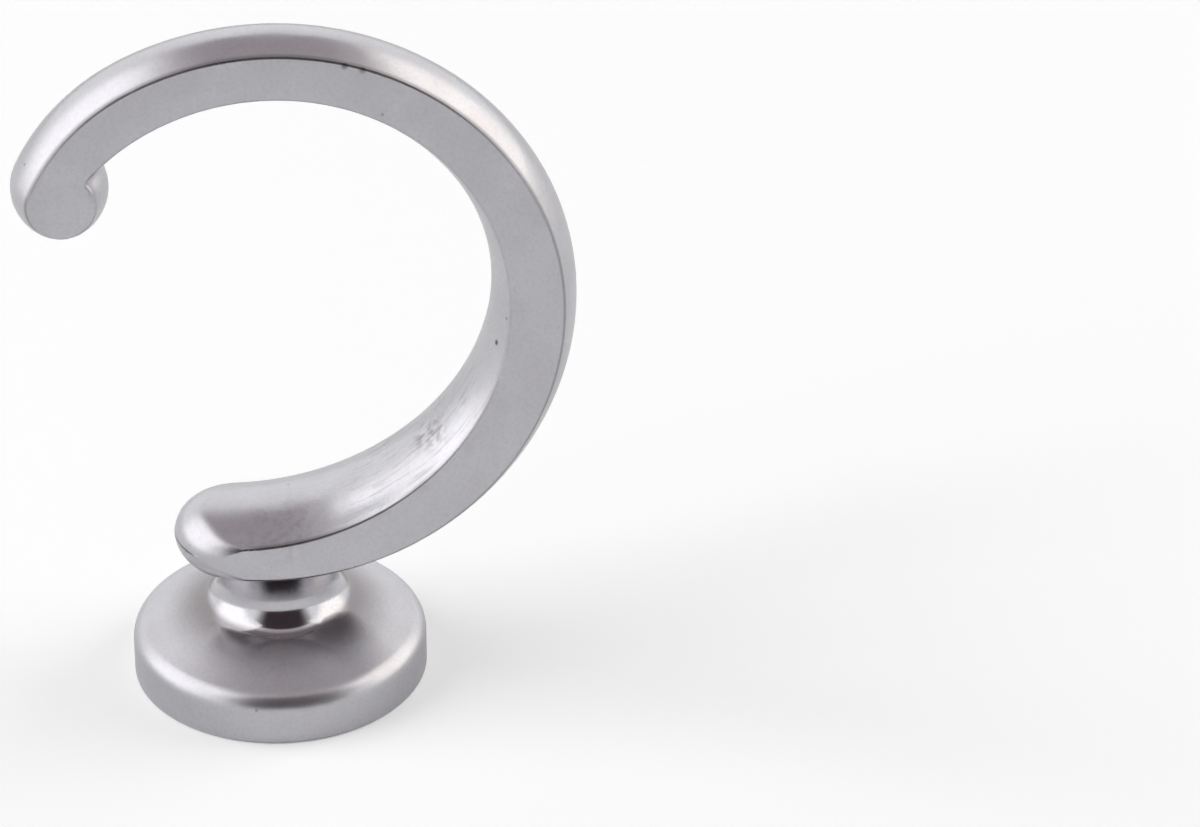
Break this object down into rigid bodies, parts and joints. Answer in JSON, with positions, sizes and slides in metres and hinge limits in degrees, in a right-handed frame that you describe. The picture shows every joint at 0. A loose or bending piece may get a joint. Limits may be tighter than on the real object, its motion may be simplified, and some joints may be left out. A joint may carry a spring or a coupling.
{
  "type": "curtain hook",
  "caption": "Curtain tie-back hook in satin nickel: an open ring with a disc tip stands on a round foot with a waisted neck, which is screwed to the wall.",
  "frame": {"origin": "centre of the foot's underside, at the mouth of the hanger bolt's hole", "axes": "+Z out of the wall, from the foot to the ring's crest; the ring stands in the XZ plane with its mouth towards -X"},
  "size_m": [0.0459, 0.025, 0.0608],
  "materials": {
    "satin_nickel": "satin nickel plate on a zinc die casting"
  },
  "bodies": {
    "root": {"curtain_hook": "satin_nickel"}
  },
  "joints": []
}
